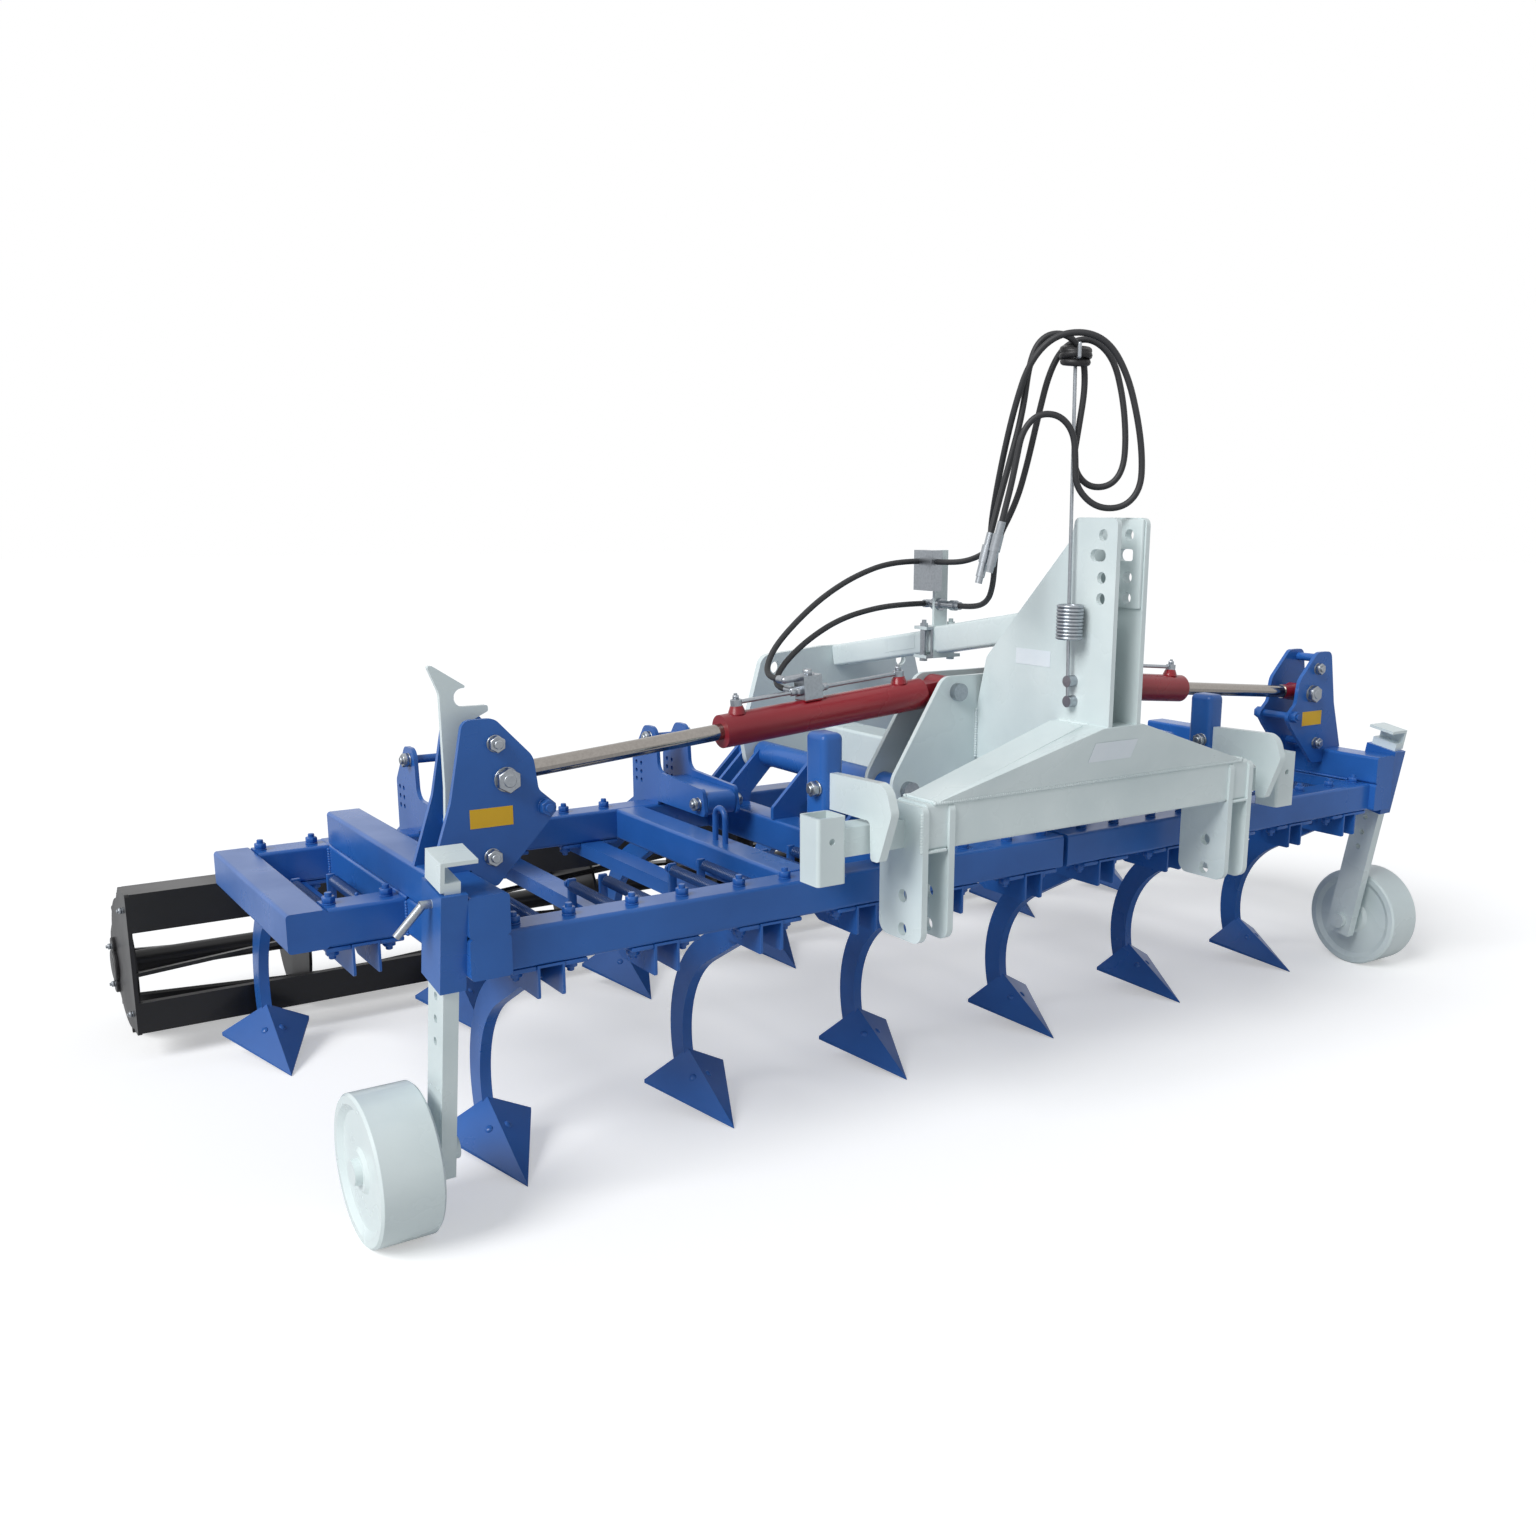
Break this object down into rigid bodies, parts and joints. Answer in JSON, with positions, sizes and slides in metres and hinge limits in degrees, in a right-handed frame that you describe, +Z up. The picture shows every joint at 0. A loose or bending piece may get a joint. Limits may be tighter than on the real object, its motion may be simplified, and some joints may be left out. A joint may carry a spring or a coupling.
{
  "type": "folding cultivator",
  "caption": "Tractor-mounted spring-tine cultivator with two folding wings, duckfoot shares, support wheels and rear cage rollers.",
  "frame": {"origin": "on the ground, on the middle plane, under the middle of the front beams", "axes": "+X to the right seen from the front, +Y to the rear, +Z up"},
  "size_m": [3.6, 2.07, 1.764],
  "materials": {
    "white_enamel": "gloss enamel",
    "blue_enamel": "gloss enamel",
    "black_enamel": "semi-gloss enamel",
    "red_enamel": "gloss enamel",
    "chrome_rod": "hard chrome",
    "zinc_steel": "zinc plated",
    "hose_rubber": "matt rubber",
    "worn_steel": "forged, dark",
    "spring_steel": "oiled spring steel"
  },
  "bodies": {
    "headstock": {"cross_beam": "white_enamel", "lower_link_plates": "white_enamel", "mast_gussets": "white_enamel", "mast_plates": "white_enamel", "front_hinge_plates": "white_enamel", "rear_hinge_plate": "white_enamel", "mast_strut": "white_enamel", "headstock_pins": "zinc_steel", "stand_sockets": "white_enamel", "hose_rod": "zinc_steel", "hose_clamp": "white_enamel", "hose_outer": "hose_rubber", "hose_inner": "hose_rubber", "hose_ram_upper": "hose_rubber", "hose_ram_lower": "hose_rubber", "coupling_outer": "chrome_rod", "coupling_inner": "chrome_rod"},
    "left_wing": {"beams_left": "blue_enamel", "rails_left": "blue_enamel", "hinge_knuckles_left": "blue_enamel", "lifting_loop_left": "blue_enamel", "ram_bracket_left": "blue_enamel", "lock_post_left": "blue_enamel", "lock_claw_left": "white_enamel", "tine_channels_left": "blue_enamel", "tine_shanks_left": "blue_enamel", "tine_shares_left": "worn_steel", "tine_springs_left": "spring_steel", "roller_brackets_left": "blue_enamel", "roller_arms_left": "black_enamel", "roller_beams_left": "black_enamel", "roller_plates_left": "black_enamel", "post_sleeve_left": "blue_enamel", "wheel_post_left": "white_enamel", "transport_hook": "white_enamel"},
    "right_wing": {"beams_right": "blue_enamel", "rails_right": "blue_enamel", "hinge_knuckles_right": "blue_enamel", "lifting_loop_right": "blue_enamel", "ram_bracket_right": "blue_enamel", "lock_post_right": "blue_enamel", "lock_claw_right": "white_enamel", "tine_channels_right": "blue_enamel", "tine_shanks_right": "blue_enamel", "tine_shares_right": "worn_steel", "tine_springs_right": "spring_steel", "roller_brackets_right": "blue_enamel", "roller_arms_right": "black_enamel", "roller_beams_right": "black_enamel", "roller_plates_right": "black_enamel", "post_sleeve_right": "blue_enamel", "wheel_post_right": "white_enamel"},
    "left_roller": {"roller_left": "black_enamel"},
    "left_wheel": {"wheel_left": "black_enamel"},
    "left_barrel": {"ram_barrel_left": "red_enamel"},
    "left_rod": {"ram_rod_left": "chrome_rod"},
    "right_roller": {"roller_right": "black_enamel"},
    "right_wheel": {"wheel_right": "black_enamel"},
    "right_barrel": {"ram_barrel_right": "red_enamel"},
    "right_rod": {"ram_rod_right": "chrome_rod"}
  },
  "joints": [
    {"name": "left_fold", "type": "hinge", "parent": "headstock", "child": "left_wing", "pos_m": [-0.26, 0.186, 0.735], "axis": [0, 1, 0], "range_deg": [0, 90]},
    {"name": "right_fold", "type": "hinge", "parent": "headstock", "child": "right_wing", "pos_m": [0.26, 0.186, 0.735], "axis": [0, -1, 0], "range_deg": [0, 90]},
    {"name": "left_barrel_swing", "type": "hinge", "parent": "headstock", "child": "left_barrel", "pos_m": [-0.116, 0.186, 0.962], "axis": [0, 1, 0], "range_deg": [0, 94], "deforming": ["hose_ram_upper", "hose_ram_lower"]},
    {"name": "left_rod_slide", "type": "slide", "parent": "left_barrel", "child": "left_rod", "axis": [-0.9964, 0, -0.0847], "range_m": [-0.376, 0]},
    {"name": "right_barrel_swing", "type": "hinge", "parent": "headstock", "child": "right_barrel", "pos_m": [0.116, 0.186, 0.962], "axis": [0, -1, 0], "range_deg": [0, 94]},
    {"name": "right_rod_slide", "type": "slide", "parent": "right_barrel", "child": "right_rod", "axis": [0.9964, 0, -0.0847], "range_m": [-0.376, 0]},
    {"name": "left_wheel_spin", "type": "hinge", "parent": "left_wing", "child": "left_wheel", "pos_m": [-1.544, 0.085, 0.15], "axis": [1, 0, 0], "continuous": true},
    {"name": "left_roller_spin", "type": "hinge", "parent": "left_wing", "child": "left_roller", "pos_m": [-0.9075, 1.57, 0.19], "axis": [1, 0, 0], "continuous": true},
    {"name": "right_wheel_spin", "type": "hinge", "parent": "right_wing", "child": "right_wheel", "pos_m": [1.544, 0.085, 0.15], "axis": [1, 0, 0], "continuous": true},
    {"name": "right_roller_spin", "type": "hinge", "parent": "right_wing", "child": "right_roller", "pos_m": [0.9075, 1.57, 0.19], "axis": [1, 0, 0], "continuous": true}
  ],
  "couplings": [
    {"joint": "left_barrel_swing", "follows": "left_fold", "ratio": 1.0424},
    {"joint": "left_rod_slide", "follows": "left_fold", "m_per_rad": -0.23872},
    {"joint": "right_barrel_swing", "follows": "right_fold", "ratio": 1.0424},
    {"joint": "right_rod_slide", "follows": "right_fold", "m_per_rad": -0.23872}
  ]
}
